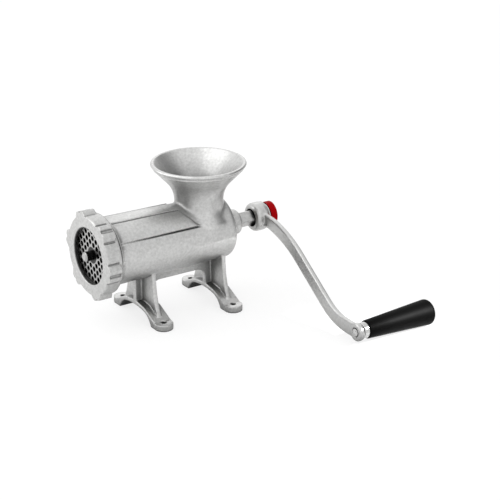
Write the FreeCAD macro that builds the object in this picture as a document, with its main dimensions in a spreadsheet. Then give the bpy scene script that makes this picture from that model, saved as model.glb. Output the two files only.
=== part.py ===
import FreeCAD, Part
import Sketcher
import math
import os

# Hand crank meat grinder: a tinned iron housing, a cutting set and a crank with a turning grip.
# X runs along the screw axis with the outlet at -X and the crank at +X, and Z is up.
# The origin lies on the bench, at the centre of the four foot holes.

V = FreeCAD.Vector
doc = FreeCAD.newDocument("meat_grinder")
sheet = doc.addObject("Spreadsheet::Sheet", "Sizes")

# Driving dimensions in millimetres, angles in degrees
SIZES = {
    # Feet and legs
    "axis_height": 100.5,  # screw axis over the bench
    "foot_pitch_x": 107.0,  # foot holes along the barrel
    "foot_pitch_y": 106.0,  # foot holes across the barrel
    "foot_hole": 7.0,  # diameter of the foot holes
    "foot_radius": 12.5,  # round end of a foot, half the width of a leg
    "foot_thick": 8.5,  # thickness of a foot
    "arch_half": 40.0,  # half the clear width under a leg pair
    "arch_shoulder_half": 24.0,  # half the width of the flat part of the arch
    "arch_shoulder_rise": 15.0,  # rise of the arch at its shoulders
    "arch_side_radius": 24.5,  # radius of the arch beside a foot
    "arch_rise": 17.5,  # rise of the arch at its middle
    "flange_thick": 6.0,  # thickness of the leg flange at its middle
    "flange_foot_half": 51.0,  # where the flange runs out on a foot, from the middle
    "web_thick": 6.0,  # thickness of a leg web
    "web_top_half": 31.5,  # half width of a web at the barrel
    "web_foot_half": 47.5,  # half width of a web at its feet
    "web_edge_radius": 117.0,  # hollow outer edge of a web
    "web_top_drop": 30.0,  # top of the hollow edge below the screw axis
    "rib_thick": 7.0,  # thickness of the middle ribs and the keel
    "keel_height": 45.5,  # underside of the keel over the bench
    "keel_corner": 12.0,  # corner between keel and leg rib

    # Barrel
    "nose_front": 124.0,  # mouth of the barrel ahead of the origin
    "nose_radius": 46.0,  # threaded nose of the barrel
    "shoulder_front": 107.0,  # end of the nose ahead of the origin
    "barrel_front_radius": 44.8,  # barrel beside the nose
    "barrel_rear_radius": 42.2,  # barrel at its closed end
    "barrel_rear": 70.0,  # closed end behind the origin
    "barrel_edge": 6.0,  # rounding of the closed end
    "strip_half": 16.5,  # half angle of the raised strip on top, in degrees
    "sunk_end": 58.0,  # angle from the top where a sunk field ends, in degrees
    "sunk_depth": 1.2,  # depth of the sunk fields beside the strip
    "bore_radius": 36.5,  # bore of the barrel
    "bore_rear": 56.0,  # inner end wall behind the origin
    "boss_radius": 17.0,  # rear bearing boss
    "boss_rear": 93.0,  # end of the boss behind the origin
    "boss_edge": 2.0,  # rounding of the boss

    # Hopper
    "hopper_x": 35.0,  # hopper axis behind the origin
    "rim_height": 95.5,  # rim over the screw axis
    "rim_radius": 63.0,  # outer radius of the rim
    "rim_thick": 5.5,  # height of the rim band
    "rim_round": 2.4,  # rounding of the rim band
    "flare_radius": 44.0,  # hopper where its curve ends
    "flare_drop": 24.0,  # that place below the rim
    "flare_curve": 40.0,  # radius of the hopper's outer curve
    "cone_top_radius": 59.8,  # hopper just below the rim band
    "cone_top_drop": 7.5,  # that place below the rim
    "neck_radius": 32.3,  # neck of the hopper
    "neck_high": 43.2,  # where the neck starts to open upward, over the axis
    "neck_low": 42.0,  # where the neck starts to spread downward, over the axis
    "skirt_radius": 42.4,  # foot of the spreading neck
    "skirt_curve": 29.5,  # hollow curve of the spreading neck
    "skirt_round": 8.0,  # rounding of the neck's foot
    "hopper_wall": 5.6,  # wall of the hopper
    "rim_top_land": 4.2,  # width of the rim's top

    # Bearing at the closed end
    "journal_radius": 11.0,  # round shaft behind the screw
    "journal_stand": 1.0,  # round shaft past the boss
    "bush_wall": 2.5,  # wall of the bush
    "washer_thick": 2.0,  # thrust washer
    "washer_radius": 20.0,  # outer radius of the thrust washer
    "thrust_play": 0.3,  # end play of the screw

    # Cutting set
    "ring_front": 132.0,  # face of the ring nut ahead of the origin
    "ring_lip": 6.0,  # lip that holds the plate
    "ring_opening": 37.0,  # radius of the opening
    "ring_bevel": 1.2,  # bevel of the opening
    "ring_rear": 110.5,  # end of the ring nut ahead of the origin
    "ring_radius": 53.0,  # ring nut between its lobes
    "ring_edge": 1.2,  # bevel of the ring's edges
    "ring_collar": 4.0,  # round collar behind the lobes
    "lobe_radius": 58.5,  # ring nut over its lobes
    "lobe_base_half": 13.0,  # half width of a lobe at its foot
    "lobe_top_half": 8.5,  # half width of a lobe at its top
    "flute_half": 2.6,  # half width of the flute in a lobe
    "flute_depth": 1.5,  # depth of the flute in a lobe
    "lobe_turn": 40.0,  # turn of the ring nut at rest
    "plate_radius": 41.0,  # cutting plate
    "plate_thick": 7.0,  # thickness of the plate
    "hole_pitch": 9.0,  # spacing of the plate holes
    "hole_radius": 3.5,  # radius of the plate holes
    "hole_turn": 46.8,  # turn of the hole pattern
    "key_radius": 2.0,  # radius of the key pin
    "key_place": 39.3,  # key pin from the screw axis
    "key_length": 13.0,  # length of the key pin
    "key_stand": 4.5,  # key pin ahead of the plate seat
    "pin_radius": 6.5,  # round tip of the auger pin
    "pin_front": 138.0,  # end of the auger pin ahead of the origin
    "pin_round": 2.0,  # bevel of the pin's end
    "pin_square": 14.0,  # square of the auger pin
    "shank_radius": 6.0,  # shank of the auger pin
    "shank_length": 26.0,  # depth of the shank in the screw
    "knife_gap": 0.3,  # space between knife and plate
    "knife_thick": 9.5,  # thickness of the knife
    "knife_hub": 14.0,  # hub radius of the knife
    "knife_reach": 35.5,  # tip radius of the knife
    "blade_edge_half": 6.5,  # half width of a blade at the plate
    "blade_back_half": 3.0,  # half width of a blade at its back

    # Screw
    "core_front": 17.0,  # core radius at the knife
    "core_rear": 13.0,  # core radius at the collar
    "collar_radius": 22.0,  # collar of the screw
    "collar_thick": 7.0,  # thickness of the collar
    "flight_gap": 0.7,  # space between flight and bore
    "flight_pitch": 42.0,  # pitch of the flight
    "flight_root": 10.0,  # thickness of the flight at its root
    "flight_tip": 6.0,  # thickness of the flight at its tip
    "drive_square": 16.0,  # square drive end
    "drive_corner": 1.3,  # bevel of the drive's corners
    "drive_turn": 43.0,  # turn of the square about the screw axis, in degrees
    "drive_rear": 133.0,  # end of the drive behind the origin

    # Crank
    "hub_front": 117.0,  # front of the hub behind the origin
    "hub_rear": 136.5,  # back of the hub behind the origin
    "hub_radius": 19.5,  # radius of the hub
    "hub_edge": 1.5,  # rounding of the hub's back
    "hub_round": 6.0,  # rounding of the hub's front
    "hub_recess": 12.0,  # radius of the hub's front recess
    "recess_depth": 6.0,  # depth of that recess
    "arm_front": 127.5,  # front of the arm behind the origin
    "arm_thick": 7.0,  # thickness of the arm
    "arm_width": 18.5,  # width of the arm
    "arm_edge": 2.2,  # rounding of the arm
    "arm_start": 6.0,  # straight start of the arm at the hub
    "arm_hub_curve": 168.0,  # radius of the arm's first bend
    "arm_grip_curve": 85.0,  # radius of the arm's second bend
    "grip_out": 231.0,  # grip axis beside the screw axis
    "grip_drop": 83.0,  # grip axis below the screw axis
    "eye_radius": 12.0,  # eye at the end of the arm
    "eye_front": 121.0,  # front of the eye behind the origin
    "eye_rear": 128.6,  # back of the eye behind the origin
    "eye_edge": 2.0,  # rounding of the eye

    # Clamping knob
    "flat_thick": 2.5,  # washer under the knob
    "flat_radius": 18.5,  # radius of that washer
    "knob_radius": 18.0,  # radius of the knob
    "knob_thick": 9.0,  # thickness of the knob
    "knob_edge": 2.5,  # rounding of the knob
    "stud_radius": 5.0,  # stud of the knob
    "stud_front": 112.0,  # end of the stud behind the origin
    "stud_hold": 6.0,  # depth of the stud in the knob

    # Grip
    "spindle_radius": 5.0,  # spindle of the grip
    "spindle_dimple": 1.5,  # radius of the centre mark in the spindle
    "spindle_head": 8.0,  # head of the spindle
    "head_thick": 4.0,  # thickness of the spindle's head
    "ferrule_radius": 10.5,  # ferrule on the grip
    "ferrule_length": 7.0,  # length of the ferrule
    "ferrule_edge": 1.5,  # rounding of the ferrule
    "grip_gap": 0.8,  # space between eye and ferrule
    "grip_small": 12.0,  # radius of the grip at the ferrule
    "grip_large": 17.0,  # radius of the grip at its end
    "grip_length": 104.5,  # length of the grip
    "grip_round": 6.0,  # rounding of the grip's end
    "grip_lip": 2.5,  # rounding of the grip's small end

    # Clearances
    "run_gap": 0.05,  # running fit, on the radius
    "seat_gap": 0.05,  # seated pieces, on the radius
    "slide_gap": 0.1,  # square drive, on each side
    "free_gap": 0.3,  # pieces that pass each other
}
for row, (name, value) in enumerate(SIZES.items(), start=1):
    sheet.set("A%d" % row, name)
    sheet.set("B%d" % row, str(value))
    sheet.setAlias("B%d" % row, name)
doc.recompute()

# Places that follow from the sizes
BENCH = "-Sizes.axis_height"
FOOT_X = "Sizes.foot_pitch_x / 2"
FOOT_Y = "Sizes.foot_pitch_y / 2"
PLATE_FRONT = "(Sizes.ring_front - Sizes.ring_lip)"
PLATE_BACK = "(Sizes.ring_front - Sizes.ring_lip - Sizes.plate_thick)"
KNIFE_FRONT = "(%s - Sizes.knife_gap)" % PLATE_BACK
KNIFE_BACK = "(%s - Sizes.knife_thick)" % KNIFE_FRONT
COLLAR_REAR = "(Sizes.bore_rear - Sizes.washer_thick - Sizes.thrust_play)"
BUSH_OUT = "(Sizes.journal_radius + Sizes.run_gap + Sizes.bush_wall)"
FLIGHT_OUT = "(Sizes.bore_radius - Sizes.flight_gap)"
KNOB_FRONT = "(Sizes.hub_rear + Sizes.flat_thick)"
FERRULE_FRONT = "(Sizes.eye_rear + Sizes.grip_gap)"
GRIP_FRONT = "(Sizes.eye_rear + Sizes.grip_gap + Sizes.ferrule_length)"
GRIP_REAR = "(%s + Sizes.grip_length)" % GRIP_FRONT


def number(text):
    return float(sheet.evalExpression(text))


def new_body(name, turn=None):
    body = doc.addObject("PartDesign::Body", name)
    body.Label = name
    body.Placement = FreeCAD.Placement(V(0, 0, 0), FreeCAD.Rotation(V(1, 0, 0), 10.0 if turn else 0.0))
    body.setExpression("Placement.Base.z", "Sizes.axis_height")
    if turn:
        body.setExpression("Placement.Rotation.Angle", turn)
    return body


def new_sketch(body, name, plane, offset=None):
    sketch = body.newObject("Sketcher::SketchObject", name)
    support = [o for o in body.Origin.OriginFeatures if o.Role == plane][0]
    sketch.AttachmentSupport = [(support, "")]
    sketch.MapMode = "FlatFace"
    if offset:
        sketch.setExpression("AttachmentOffset.Base.z", offset)
    return sketch


def pin(sketch, geo, pos, x, y):
    for kind, axis, text in (("DistanceX", -2, x), ("DistanceY", -1, y)):
        if text == "0":
            sketch.addConstraint(Sketcher.Constraint("PointOnObject", geo, pos, axis))
        else:
            index = sketch.addConstraint(Sketcher.Constraint(kind, -1, 1, geo, pos, number(text)))
            sketch.setExpression("Constraints[%d]" % index, text)


def set_radius(sketch, geo, text):
    index = sketch.addConstraint(Sketcher.Constraint("Radius", geo, number(text)))
    sketch.setExpression("Constraints[%d]" % index, text)


# A closed outline: each corner is (x, y) and a line to the next corner,
# or (x, y, side, radius) and an arc whose centre is on that side of the way to the next corner.
def outline(sketch, corners):
    spots = [V(number(c[0]), number(c[1]), 0) for c in corners]
    ends = []
    for i, corner in enumerate(corners):
        a = spots[i]
        b = spots[(i + 1) % len(spots)]
        if len(corner) == 2:
            geo = sketch.addGeometry(Part.LineSegment(a, b), False)
            ends.append((geo, 1, 2))
            continue
        way = b - a
        radius = number(corner[3])
        left = corner[2] == "left"
        side = V(-way.y, way.x, 0).normalize() * (1 if left else -1)
        middle = (a + b) * 0.5 + side * math.sqrt(max(radius ** 2 - (way.Length / 2) ** 2, 0))
        first = a if left else b
        last = b if left else a
        start = math.atan2(first.y - middle.y, first.x - middle.x)
        stop = math.atan2(last.y - middle.y, last.x - middle.x)
        circle = Part.Circle(middle, V(0, 0, 1), radius)
        geo = sketch.addGeometry(Part.ArcOfCircle(circle, start, stop), False)
        ends.append((geo, 1, 2) if left else (geo, 2, 1))
    for i, end in enumerate(ends):
        after = ends[(i + 1) % len(ends)]
        sketch.addConstraint(Sketcher.Constraint("Coincident", end[0], end[2], after[0], after[1]))
        pin(sketch, end[0], end[1], corners[i][0], corners[i][1])
        if len(corners[i]) == 4:
            set_radius(sketch, end[0], corners[i][3])


def ring(sketch, x, y, radius):
    circle = Part.Circle(V(number(x), number(y), 0), V(0, 0, 1), number(radius))
    geo = sketch.addGeometry(circle, False)
    pin(sketch, geo, 3, x, y)
    set_radius(sketch, geo, radius)


def square(sketch, width, corner):
    near = "(%s) / 2" % width
    cut = "((%s) / 2 - %s)" % (width, corner)
    spots = [(near, "-" + cut), (near, cut), (cut, near), ("-" + cut, near)]
    spots += [("-" + near, cut), ("-" + near, "-" + cut), ("-" + cut, "-" + near), (cut, "-" + near)]
    outline(sketch, spots)


def feature(body, kind, name, sketch):
    item = body.newObject("PartDesign::" + kind, name)
    item.Profile = sketch
    return item


def pad(body, name, sketch, length, symmetric=False):
    item = feature(body, "Pad", name, sketch)
    item.SideType = "Symmetric" if symmetric else "One side"
    item.setExpression("Length", length)
    doc.recompute()
    return item


def cut(body, name, sketch, length, symmetric=False, backward=True):
    item = feature(body, "Pocket", name, sketch)
    item.SideType = "Symmetric" if symmetric else "One side"
    item.Reversed = backward
    item.setExpression("Length", length)
    doc.recompute()
    return item


def revolve(body, name, sketch, axis, kind="Revolution"):
    item = feature(body, kind, name, sketch)
    item.ReferenceAxis = (sketch, [axis])
    item.Angle = 360.0
    doc.recompute()
    return item


def fillet(body, name, base, edges, radius):
    item = body.newObject("PartDesign::Fillet", name)
    item.Base = (base, edges)
    item.setExpression("Radius", radius)
    doc.recompute()
    return item


def axis_of(body, role):
    return [o for o in body.Origin.OriginFeatures if o.Role == role][0]


def around(body, name, item, count):
    pattern = body.newObject("PartDesign::PolarPattern", name)
    pattern.Originals = [item]
    pattern.Axis = (axis_of(body, "X_Axis"), [""])
    pattern.Angle = 360.0
    pattern.Occurrences = count
    body.Tip = pattern
    doc.recompute()
    return pattern


# Housing: barrel with its nose
housing = new_body("housing")
barrel_sketch = new_sketch(housing, "barrel_outline", "XZ_Plane")
outline(barrel_sketch, [
    ("-Sizes.nose_front", "0"),
    ("-Sizes.nose_front", "Sizes.nose_radius"),
    ("-Sizes.shoulder_front", "Sizes.nose_radius"),
    ("-Sizes.shoulder_front", "Sizes.barrel_front_radius"),
    ("Sizes.barrel_rear - Sizes.barrel_edge", "Sizes.barrel_rear_radius", "right", "Sizes.barrel_edge"),
    ("Sizes.barrel_rear", "Sizes.barrel_rear_radius - Sizes.barrel_edge"),
    ("Sizes.barrel_rear", "0"),
])
revolve(housing, "barrel", barrel_sketch, "H_Axis")

# Sunk fields on both sides of the top strip, from the nose to the hopper
TAPER = "(Sizes.barrel_front_radius - Sizes.barrel_rear_radius) * (Sizes.shoulder_front + Sizes.hopper_x)"
SUNK_REAR = "(Sizes.barrel_front_radius - %s / (Sizes.shoulder_front + Sizes.barrel_rear))" % TAPER
sunk_sketch = new_sketch(housing, "sunk_outline", "XZ_Plane")
sunk_sketch.AttachmentOffset = FreeCAD.Placement(V(0, 0, 0), FreeCAD.Rotation(V(1, 0, 0), 30.0))
sunk_sketch.setExpression("AttachmentOffset.Rotation.Angle", "(Sizes.strip_half + Sizes.sunk_end) / 2")
outline(sunk_sketch, [
    ("-Sizes.shoulder_front", "Sizes.barrel_front_radius - Sizes.sunk_depth"),
    ("Sizes.hopper_x", SUNK_REAR + " - Sizes.sunk_depth"),
    ("Sizes.hopper_x", "Sizes.nose_radius + Sizes.sunk_depth"),
    ("-Sizes.shoulder_front", "Sizes.nose_radius + Sizes.sunk_depth"),
])
sunk = revolve(housing, "sunk_field", sunk_sketch, "H_Axis", "Groove")
sunk.Midplane = True
sunk.setExpression("Angle", "Sizes.sunk_end - Sizes.strip_half")
doc.recompute()
sunk_pair = housing.newObject("PartDesign::Mirrored", "sunk_fields")
sunk_pair.Originals = [sunk]
sunk_pair.MirrorPlane = (axis_of(housing, "XZ_Plane"), [""])
housing.Tip = sunk_pair
doc.recompute()

# Hopper and spreading neck
REACH = "(Sizes.skirt_curve + Sizes.skirt_round)"
FLARE_X = "(Sizes.neck_radius + Sizes.skirt_curve - Sizes.skirt_radius + Sizes.skirt_round)"
FLARE_Z = "sqrt(%s ^ 2 - %s ^ 2)" % (REACH, FLARE_X)
SKIRT_Z = "(Sizes.neck_low - %s)" % FLARE_Z
hopper_sketch = new_sketch(housing, "hopper_outline", "XZ_Plane")
hopper_sketch.setExpression("AttachmentOffset.Base.x", "Sizes.hopper_x")
outline(hopper_sketch, [
    ("0", "0"),
    ("Sizes.skirt_radius", "0"),
    ("Sizes.skirt_radius", SKIRT_Z, "left", "Sizes.skirt_round"),
    ("Sizes.skirt_radius - Sizes.skirt_round + Sizes.skirt_round * %s / %s" % (FLARE_X, REACH),
     "%s + Sizes.skirt_round * %s / %s" % (SKIRT_Z, FLARE_Z, REACH), "right", "Sizes.skirt_curve"),
    ("Sizes.neck_radius", "Sizes.neck_low"),
    ("Sizes.neck_radius", "Sizes.neck_high", "right", "Sizes.flare_curve"),
    ("Sizes.flare_radius", "Sizes.rim_height - Sizes.flare_drop"),
    ("Sizes.cone_top_radius", "Sizes.rim_height - Sizes.cone_top_drop"),
    ("Sizes.rim_radius", "Sizes.rim_height - Sizes.rim_thick"),
    ("Sizes.rim_radius", "Sizes.rim_height - Sizes.rim_round", "left", "Sizes.rim_round"),
    ("Sizes.rim_radius - Sizes.rim_round", "Sizes.rim_height"),
    ("0", "Sizes.rim_height"),
])
revolve(housing, "hopper", hopper_sketch, "V_Axis")

# The neck is cut off flush with the closed end, and the bearing boss stands out there
trim_sketch = new_sketch(housing, "neck_trim_outline", "XZ_Plane")
outline(trim_sketch, [
    ("Sizes.barrel_rear", "-Sizes.boss_edge"),
    ("Sizes.barrel_rear + Sizes.skirt_radius", "-Sizes.boss_edge"),
    ("Sizes.barrel_rear + Sizes.skirt_radius", "Sizes.neck_low"),
    ("Sizes.barrel_rear", "Sizes.neck_low"),
])
cut(housing, "neck_trim", trim_sketch, "4 * Sizes.skirt_radius", symmetric=True)
boss_sketch = new_sketch(housing, "boss_outline", "XZ_Plane")
outline(boss_sketch, [
    ("Sizes.bore_rear", "0"),
    ("Sizes.bore_rear", "Sizes.boss_radius"),
    ("Sizes.boss_rear - Sizes.boss_edge", "Sizes.boss_radius", "right", "Sizes.boss_edge"),
    ("Sizes.boss_rear", "Sizes.boss_radius - Sizes.boss_edge"),
    ("Sizes.boss_rear", "0"),
])
revolve(housing, "boss", boss_sketch, "H_Axis")

# Keel and the middle ribs of the legs, one plate along the barrel
LEG_FRONT = "(%s - Sizes.foot_radius)" % FOOT_X
LEG_REAR = "(%s + Sizes.foot_radius)" % FOOT_X
RIB_LOW = "-Sizes.axis_height + Sizes.arch_rise + Sizes.flange_thick / 2"
KEEL = "-Sizes.axis_height + Sizes.keel_height"
rib_sketch = new_sketch(housing, "keel_outline", "XZ_Plane")
outline(rib_sketch, [
    ("-" + LEG_REAR, RIB_LOW),
    ("-" + LEG_FRONT, RIB_LOW),
    ("-" + LEG_FRONT, KEEL + " - Sizes.keel_corner", "right", "Sizes.keel_corner"),
    ("-%s + Sizes.keel_corner" % LEG_FRONT, KEEL),
    ("%s - Sizes.keel_corner" % LEG_FRONT, KEEL, "right", "Sizes.keel_corner"),
    (LEG_FRONT, KEEL + " - Sizes.keel_corner"),
    (LEG_FRONT, RIB_LOW),
    (LEG_REAR, RIB_LOW),
    (LEG_REAR, "-Sizes.bore_radius"),
    ("-" + LEG_REAR, "-Sizes.bore_radius"),
])
pad(housing, "keel", rib_sketch, "Sizes.rib_thick", symmetric=True)

# One leg pair: arched flange, round feet and web, repeated along the barrel
ARCH_CROWN = "((Sizes.arch_shoulder_half ^ 2 + (Sizes.arch_rise - Sizes.arch_shoulder_rise) ^ 2)" \
    " / (2 * (Sizes.arch_rise - Sizes.arch_shoulder_rise)))"
flange_sketch = new_sketch(housing, "flange_outline", "YZ_Plane", "-" + FOOT_X)
outline(flange_sketch, [
    ("-" + FOOT_Y, BENCH),
    ("-Sizes.arch_half", BENCH, "right", "Sizes.arch_side_radius"),
    ("-Sizes.arch_shoulder_half", BENCH + " + Sizes.arch_shoulder_rise", "right", ARCH_CROWN),
    ("Sizes.arch_shoulder_half", BENCH + " + Sizes.arch_shoulder_rise", "right", "Sizes.arch_side_radius"),
    ("Sizes.arch_half", BENCH),
    (FOOT_Y, BENCH),
    (FOOT_Y, BENCH + " + Sizes.foot_thick"),
    ("Sizes.flange_foot_half", BENCH + " + Sizes.foot_thick"),
    ("Sizes.arch_shoulder_half", BENCH + " + Sizes.arch_shoulder_rise + Sizes.flange_thick"),
    ("Sizes.flange_thick", BENCH + " + Sizes.arch_rise + Sizes.flange_thick"),
    ("-Sizes.flange_thick", BENCH + " + Sizes.arch_rise + Sizes.flange_thick"),
    ("-Sizes.arch_shoulder_half", BENCH + " + Sizes.arch_shoulder_rise + Sizes.flange_thick"),
    ("-Sizes.flange_foot_half", BENCH + " + Sizes.foot_thick"),
    ("-" + FOOT_Y, BENCH + " + Sizes.foot_thick"),
])
flange = pad(housing, "leg_flange", flange_sketch, "2 * Sizes.foot_radius", symmetric=True)

foot_sketch = new_sketch(housing, "foot_outline", "XY_Plane", BENCH)
ring(foot_sketch, "-" + FOOT_X, "-" + FOOT_Y, "Sizes.foot_radius")
ring(foot_sketch, "-" + FOOT_X, FOOT_Y, "Sizes.foot_radius")
feet = pad(housing, "feet", foot_sketch, "Sizes.foot_thick")

WEB_LOW = BENCH + " + Sizes.foot_thick / 2"
web_sketch = new_sketch(housing, "web_outline", "YZ_Plane", "-" + FOOT_X)
outline(web_sketch, [
    ("-Sizes.web_top_half", "-Sizes.web_top_drop", "right", "Sizes.web_edge_radius"),
    ("-Sizes.web_foot_half", WEB_LOW),
    ("-Sizes.arch_half - Sizes.flange_thick / 3", WEB_LOW),
    ("-Sizes.arch_shoulder_half", BENCH + " + Sizes.arch_shoulder_rise + Sizes.flange_thick / 3"),
    ("0", BENCH + " + Sizes.arch_rise + Sizes.flange_thick / 3"),
    ("Sizes.arch_shoulder_half", BENCH + " + Sizes.arch_shoulder_rise + Sizes.flange_thick / 3"),
    ("Sizes.arch_half + Sizes.flange_thick / 3", WEB_LOW),
    ("Sizes.web_foot_half", WEB_LOW, "right", "Sizes.web_edge_radius"),
    ("Sizes.web_top_half", "-Sizes.web_top_drop"),
    ("Sizes.web_top_half - Sizes.rib_thick", "-Sizes.barrel_rear_radius + Sizes.barrel_edge"),
    ("-Sizes.web_top_half + Sizes.rib_thick", "-Sizes.barrel_rear_radius + Sizes.barrel_edge"),
])
web = pad(housing, "leg_web", web_sketch, "Sizes.web_thick", symmetric=True)
legs = housing.newObject("PartDesign::LinearPattern", "legs")
legs.Originals = [flange, feet, web]
legs.Direction = (axis_of(housing, "X_Axis"), [""])
legs.setExpression("Length", "Sizes.foot_pitch_x")
legs.Occurrences = 2
housing.Tip = legs
doc.recompute()

# Holes in the feet
drill_sketch = new_sketch(housing, "foot_drill_outline", "XY_Plane", BENCH)
for side_x in ("-" + FOOT_X, FOOT_X):
    for side_y in ("-" + FOOT_Y, FOOT_Y):
        ring(drill_sketch, side_x, side_y, "Sizes.foot_hole / 2")
cut(housing, "foot_drill", drill_sketch, "2 * Sizes.foot_thick")

# Bore, plate seat and bush seat
bore_sketch = new_sketch(housing, "bore_outline", "XZ_Plane")
outline(bore_sketch, [
    ("-Sizes.ring_front", "0"),
    ("Sizes.barrel_rear + Sizes.boss_rear", "0"),
    ("Sizes.barrel_rear + Sizes.boss_rear", BUSH_OUT + " + Sizes.seat_gap"),
    ("Sizes.bore_rear", BUSH_OUT + " + Sizes.seat_gap"),
    ("Sizes.bore_rear", "Sizes.bore_radius"),
    ("-" + PLATE_BACK, "Sizes.bore_radius"),
    ("-" + PLATE_BACK, "Sizes.plate_radius + Sizes.run_gap"),
    ("-Sizes.ring_front", "Sizes.plate_radius + Sizes.run_gap"),
])
revolve(housing, "bore", bore_sketch, "H_Axis", "Groove")

# Inside of the hopper, down into the bore
INNER_SLOPE = "Sizes.hopper_wall / sqrt(2)"
INNER_CURVE = "Sizes.flare_curve + Sizes.hopper_wall"
inside_sketch = new_sketch(housing, "hopper_inside_outline", "XZ_Plane")
inside_sketch.setExpression("AttachmentOffset.Base.x", "Sizes.hopper_x")
outline(inside_sketch, [
    ("0", "0"),
    ("Sizes.neck_radius - Sizes.hopper_wall", "0"),
    ("Sizes.neck_radius - Sizes.hopper_wall", "Sizes.neck_high", "right", INNER_CURVE),
    ("Sizes.flare_radius - " + INNER_SLOPE, "Sizes.rim_height - Sizes.flare_drop + " + INNER_SLOPE),
    ("Sizes.rim_radius - Sizes.rim_top_land - Sizes.rim_round", "Sizes.rim_height - Sizes.rim_round"),
    ("Sizes.rim_radius - Sizes.rim_top_land", "Sizes.rim_height"),
    ("Sizes.rim_radius - Sizes.rim_top_land", "Sizes.rim_height + Sizes.rim_thick"),
    ("0", "Sizes.rim_height + Sizes.rim_thick"),
])
revolve(housing, "hopper_inside", inside_sketch, "V_Axis", "Groove")

# Hole for the key pin beside the plate
key_sketch = new_sketch(housing, "key_outline", "YZ_Plane", "-Sizes.ring_front")
ring(key_sketch, "0", "Sizes.key_place", "Sizes.key_radius + Sizes.seat_gap")
KEY_DEEP = "(Sizes.ring_front - %s + Sizes.key_length - Sizes.key_stand)" % PLATE_BACK
cut(housing, "key_hole", key_sketch, KEY_DEEP)

# Bush and thrust washer at the closed end
bush = new_body("rear_bush")
bush_sketch = new_sketch(bush, "bush_outline", "XZ_Plane")
outline(bush_sketch, [
    ("Sizes.bore_rear", "Sizes.journal_radius + Sizes.run_gap"),
    ("Sizes.boss_rear", "Sizes.journal_radius + Sizes.run_gap"),
    ("Sizes.boss_rear", BUSH_OUT),
    ("Sizes.bore_rear", BUSH_OUT),
])
revolve(bush, "bush", bush_sketch, "H_Axis")

washer = new_body("thrust_washer")
washer_sketch = new_sketch(washer, "thrust_outline", "XZ_Plane")
outline(washer_sketch, [
    ("Sizes.bore_rear - Sizes.washer_thick", "Sizes.journal_radius + Sizes.free_gap"),
    ("Sizes.bore_rear", "Sizes.journal_radius + Sizes.free_gap"),
    ("Sizes.bore_rear", "Sizes.washer_radius"),
    ("Sizes.bore_rear - Sizes.washer_thick", "Sizes.washer_radius"),
])
revolve(washer, "thrust", washer_sketch, "H_Axis")

# Key pin of the plate
key_pin = new_body("plate_key_pin")
pin_sketch = new_sketch(key_pin, "key_pin_outline", "YZ_Plane", "-%s - Sizes.key_stand" % PLATE_BACK)
ring(pin_sketch, "0", "Sizes.key_place", "Sizes.key_radius")
pad(key_pin, "key_pin", pin_sketch, "Sizes.key_length")

# Cutting plate with its hole pattern and key slot
plate = new_body("cutting_plate")
disc_sketch = new_sketch(plate, "disc_outline", "YZ_Plane", "-" + PLATE_FRONT)
ring(disc_sketch, "0", "0", "Sizes.plate_radius")
ring(disc_sketch, "0", "0", "Sizes.pin_radius + Sizes.run_gap")
pad(plate, "disc", disc_sketch, "Sizes.plate_thick")
slot_sketch = new_sketch(plate, "slot_outline", "YZ_Plane", "-" + PLATE_FRONT)
SLOT = "(Sizes.key_radius + Sizes.free_gap)"
outline(slot_sketch, [
    ("-" + SLOT, "Sizes.key_place - Sizes.key_radius - Sizes.free_gap"),
    (SLOT, "Sizes.key_place - Sizes.key_radius - Sizes.free_gap"),
    (SLOT, "Sizes.plate_radius + Sizes.key_radius"),
    ("-" + SLOT, "Sizes.plate_radius + Sizes.key_radius"),
])
cut(plate, "key_slot", slot_sketch, "Sizes.plate_thick")
holes_sketch = new_sketch(plate, "holes_outline", "YZ_Plane", "-" + PLATE_FRONT)
holes_sketch.setExpression("AttachmentOffset.Rotation.Angle", "Sizes.hole_turn")
for lap in (2, 3, 4):
    for step in range(lap):
        across = "-%d * Sizes.hole_pitch * sqrt(3) / 2" % step if step else "0"
        along = "%d * Sizes.hole_pitch - %d * Sizes.hole_pitch / 2" % (lap, step)
        ring(holes_sketch, across, along, "Sizes.hole_radius")
holes = cut(plate, "holes", holes_sketch, "Sizes.plate_thick")
around(plate, "hole_pattern", holes, 6)

# Ring nut with its lip and lobes
nut = new_body("ring_nut", "Sizes.lobe_turn")
nut_sketch = new_sketch(nut, "nut_outline", "XZ_Plane")
outline(nut_sketch, [
    ("-Sizes.ring_front", "Sizes.ring_opening + Sizes.ring_bevel"),
    ("-Sizes.ring_front + Sizes.ring_bevel", "Sizes.ring_opening"),
    ("-" + PLATE_FRONT, "Sizes.ring_opening"),
    ("-" + PLATE_FRONT, "Sizes.nose_radius + Sizes.run_gap"),
    ("-Sizes.ring_rear", "Sizes.nose_radius + Sizes.run_gap"),
    ("-Sizes.ring_rear", "Sizes.ring_radius - Sizes.ring_edge"),
    ("-Sizes.ring_rear - Sizes.ring_edge", "Sizes.ring_radius"),
    ("-Sizes.ring_front + Sizes.ring_edge", "Sizes.ring_radius"),
    ("-Sizes.ring_front", "Sizes.ring_radius - Sizes.ring_edge"),
])
revolve(nut, "nut", nut_sketch, "H_Axis")
lobe_sketch = new_sketch(nut, "lobe_outline", "YZ_Plane", "-Sizes.ring_front")
LOBE_FOOT = "Sizes.ring_radius - 2 * Sizes.ring_edge"
LOBE_TOP = "sqrt(Sizes.lobe_radius ^ 2 - Sizes.lobe_top_half ^ 2)"
FLUTE_TOP = "sqrt(Sizes.lobe_radius ^ 2 - Sizes.flute_half ^ 2)"
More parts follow.
